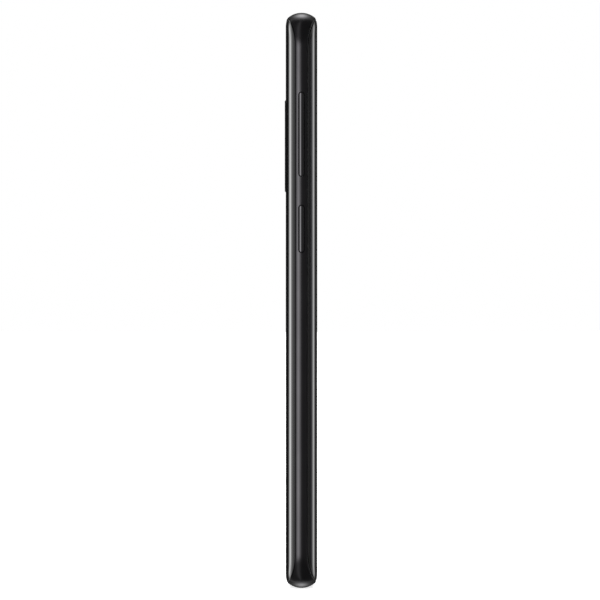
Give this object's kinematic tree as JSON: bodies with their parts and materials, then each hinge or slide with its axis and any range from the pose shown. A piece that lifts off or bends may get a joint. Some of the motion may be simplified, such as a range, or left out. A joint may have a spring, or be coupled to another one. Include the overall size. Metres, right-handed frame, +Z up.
{
  "type": "smartphone",
  "caption": "Slim smartphone with front and back glass curved along the long edges, a bulging metal band, side keys, a card tray, a rear camera island and sockets in its bottom edge.",
  "frame": {"origin": "centre of the width, at the body's middle plane, on the bottom edge (the edge with the sockets)", "axes": "+Z up the phone's length to the earpiece end, -Y the way the screen faces, -X the side with the volume keys"},
  "size_m": [0.0746, 0.009, 0.1581],
  "materials": {
    "frame": "polished, black anodised",
    "antenna_breaks": "filled plastic, polished flush",
    "front_glass": "polished, black printed behind",
    "display_rim": "moulded",
    "front_adhesive": "foam tape",
    "display_panel": "laminated",
    "heat_spreader": "copper foil",
    "back_glass": "polished, black coated behind",
    "back_adhesive": "foam tape",
    "camera_bezel": "anodised, cut edge",
    "camera_window": "polished, black printed behind",
    "fingerprint_sensor": "hard coated",
    "wide_camera": "black",
    "wide_lens": "moulded",
    "tele_camera": "black",
    "tele_lens": "moulded",
    "flash_window": "tinted",
    "flash_module": "phosphor",
    "volume_rocker": "polished, black anodised",
    "function_key": "polished, black anodised",
    "power_key": "polished, black anodised",
    "key_switches": "polyimide flex",
    "volume_domes": "spring steel",
    "function_dome": "spring steel",
    "power_dome": "spring steel",
    "sim_tray": "black anodised",
    "tray_seal": "silicone",
    "card_socket": "pressed",
    "main_board": "solder mask",
    "shield_cans": "tinned",
    "processor": "epoxy",
    "heat_pipe": "copper",
    "battery": "wrapped pouch",
    "charging_coil": "copper",
    "coil_ferrite": "sintered sheet",
    "upper_bracket": "moulded",
    "lower_bracket": "moulded",
    "speaker_box": "moulded",
    "loudspeaker": "pressed",
    "speaker_mesh": "woven",
    "sub_board": "solder mask",
    "usb_shell": "drawn",
    "usb_tongue": "moulded",
    "usb_seal": "silicone",
    "headphone_jack": "moulded",
    "microphones": "plated can",
    "earpiece": "pressed",
    "earpiece_mesh": "woven",
    "front_camera": "moulded",
    "iris_camera": "moulded",
    "light_sensor": "tinted",
    "haptic_case": "pressed",
    "haptic_mass": "sintered tungsten alloy",
    "board_flex": "polyimide flex",
    "display_flex": "polyimide flex",
    "battery_flex": "polyimide flex",
    "screws": "plated"
  },
  "bodies": {
    "phone": {"frame": "frame", "antenna_breaks": "antenna_breaks", "front_glass": "front_glass", "display_rim": "display_rim", "front_adhesive": "front_adhesive", "display_panel": "display_panel", "heat_spreader": "heat_spreader", "back_glass": "back_glass", "back_adhesive": "back_adhesive", "camera_bezel": "camera_bezel", "camera_window": "camera_window", "fingerprint_sensor": "fingerprint_sensor", "wide_camera": "wide_camera", "tele_camera": "tele_camera", "flash_window": "flash_window", "flash_module": "flash_module", "key_switches": "key_switches", "volume_domes": "volume_domes", "function_dome": "function_dome", "power_dome": "power_dome", "card_socket": "card_socket", "main_board": "main_board", "shield_cans": "shield_cans", "processor": "processor", "heat_pipe": "heat_pipe", "battery": "battery", "charging_coil": "charging_coil", "coil_ferrite": "coil_ferrite", "upper_bracket": "upper_bracket", "lower_bracket": "lower_bracket", "speaker_box": "speaker_box", "loudspeaker": "loudspeaker", "speaker_mesh": "speaker_mesh", "sub_board": "sub_board", "usb_shell": "usb_shell", "usb_tongue": "usb_tongue", "usb_seal": "usb_seal", "headphone_jack": "headphone_jack", "microphones": "microphones", "earpiece": "earpiece", "earpiece_mesh": "earpiece_mesh", "front_camera": "front_camera", "iris_camera": "iris_camera", "light_sensor": "light_sensor", "haptic_case": "haptic_case", "board_flex": "board_flex", "display_flex": "display_flex", "battery_flex": "battery_flex", "screws": "screws"},
    "volume_rocker": {"volume_rocker": "volume_rocker"},
    "function_key": {"function_key": "function_key"},
    "power_key": {"power_key": "power_key"},
    "card_tray": {"sim_tray": "sim_tray", "tray_seal": "tray_seal"},
    "wide_lens": {"wide_lens": "wide_lens"},
    "tele_lens": {"tele_lens": "tele_lens"},
    "haptic_mass": {"haptic_mass": "haptic_mass"}
  },
  "joints": [
    {"name": "volume_press", "type": "hinge", "parent": "phone", "child": "volume_rocker", "pos_m": [-0.0343, 0, 0.12445], "axis": [0, 1, 0], "range_deg": [-1.2, 1.2], "stiffness_Nm_per_rad": 0.5, "deforming": ["volume_domes"]},
    {"name": "function_press", "type": "slide", "parent": "phone", "child": "function_key", "axis": [1, 0, 0], "range_m": [0, 0.0002], "stiffness_N_per_m": 2000, "springref_m": -0.0002, "deforming": ["function_dome"]},
    {"name": "power_press", "type": "slide", "parent": "phone", "child": "power_key", "axis": [-1, 0, 0], "range_m": [0, 0.0002], "stiffness_N_per_m": 2000, "springref_m": -0.0002, "deforming": ["power_dome"]},
    {"name": "tray_out", "type": "slide", "parent": "phone", "child": "card_tray", "axis": [0, 0, 1], "range_m": [0, 0.032]},
    {"name": "wide_focus", "type": "slide", "parent": "phone", "child": "wide_lens", "axis": [0, 1, 0], "range_m": [0, 0.00025], "stiffness_N_per_m": 100, "springref_m": -0.0001},
    {"name": "tele_focus", "type": "slide", "parent": "phone", "child": "tele_lens", "axis": [0, 1, 0], "range_m": [0, 0.00025], "stiffness_N_per_m": 100, "springref_m": -0.0001},
    {"name": "haptic_shake", "type": "slide", "parent": "phone", "child": "haptic_mass", "axis": [0, 0, 1], "range_m": [-0.00025, 0.00025], "stiffness_N_per_m": 1100}
  ]
}
